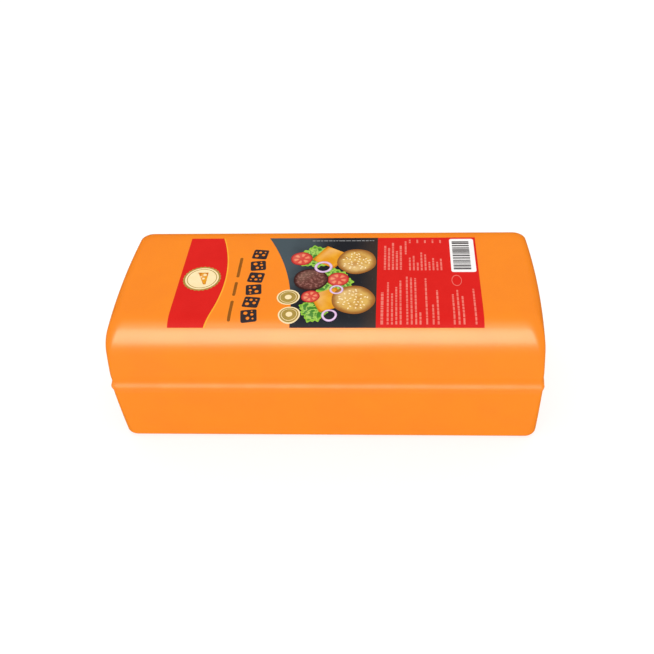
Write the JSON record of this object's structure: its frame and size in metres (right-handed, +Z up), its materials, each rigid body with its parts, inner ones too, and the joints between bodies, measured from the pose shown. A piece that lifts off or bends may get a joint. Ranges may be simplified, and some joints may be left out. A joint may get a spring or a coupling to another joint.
{
  "type": "wrapped cheese loaf",
  "caption": "Long rectangular catering loaf of burger cheese in tight orange film, with soft shoulders, a seam bead all round and a printed label on top.",
  "frame": {"origin": "on the ground under the middle of the loaf", "axes": "+Z up, +X along the loaf's length from the label's red band to its bar code, +Y from the front to the back"},
  "size_m": [0.28, 0.118, 0.0939],
  "materials": {
    "orange_film": "satin",
    "red_print": "satin",
    "dark_print": "satin",
    "gold_print": "satin",
    "light_print": "satin",
    "picture_print": "satin"
  },
  "bodies": {
    "root": {"cheese_loaf": "orange_film", "label": "red_print"}
  },
  "joints": []
}
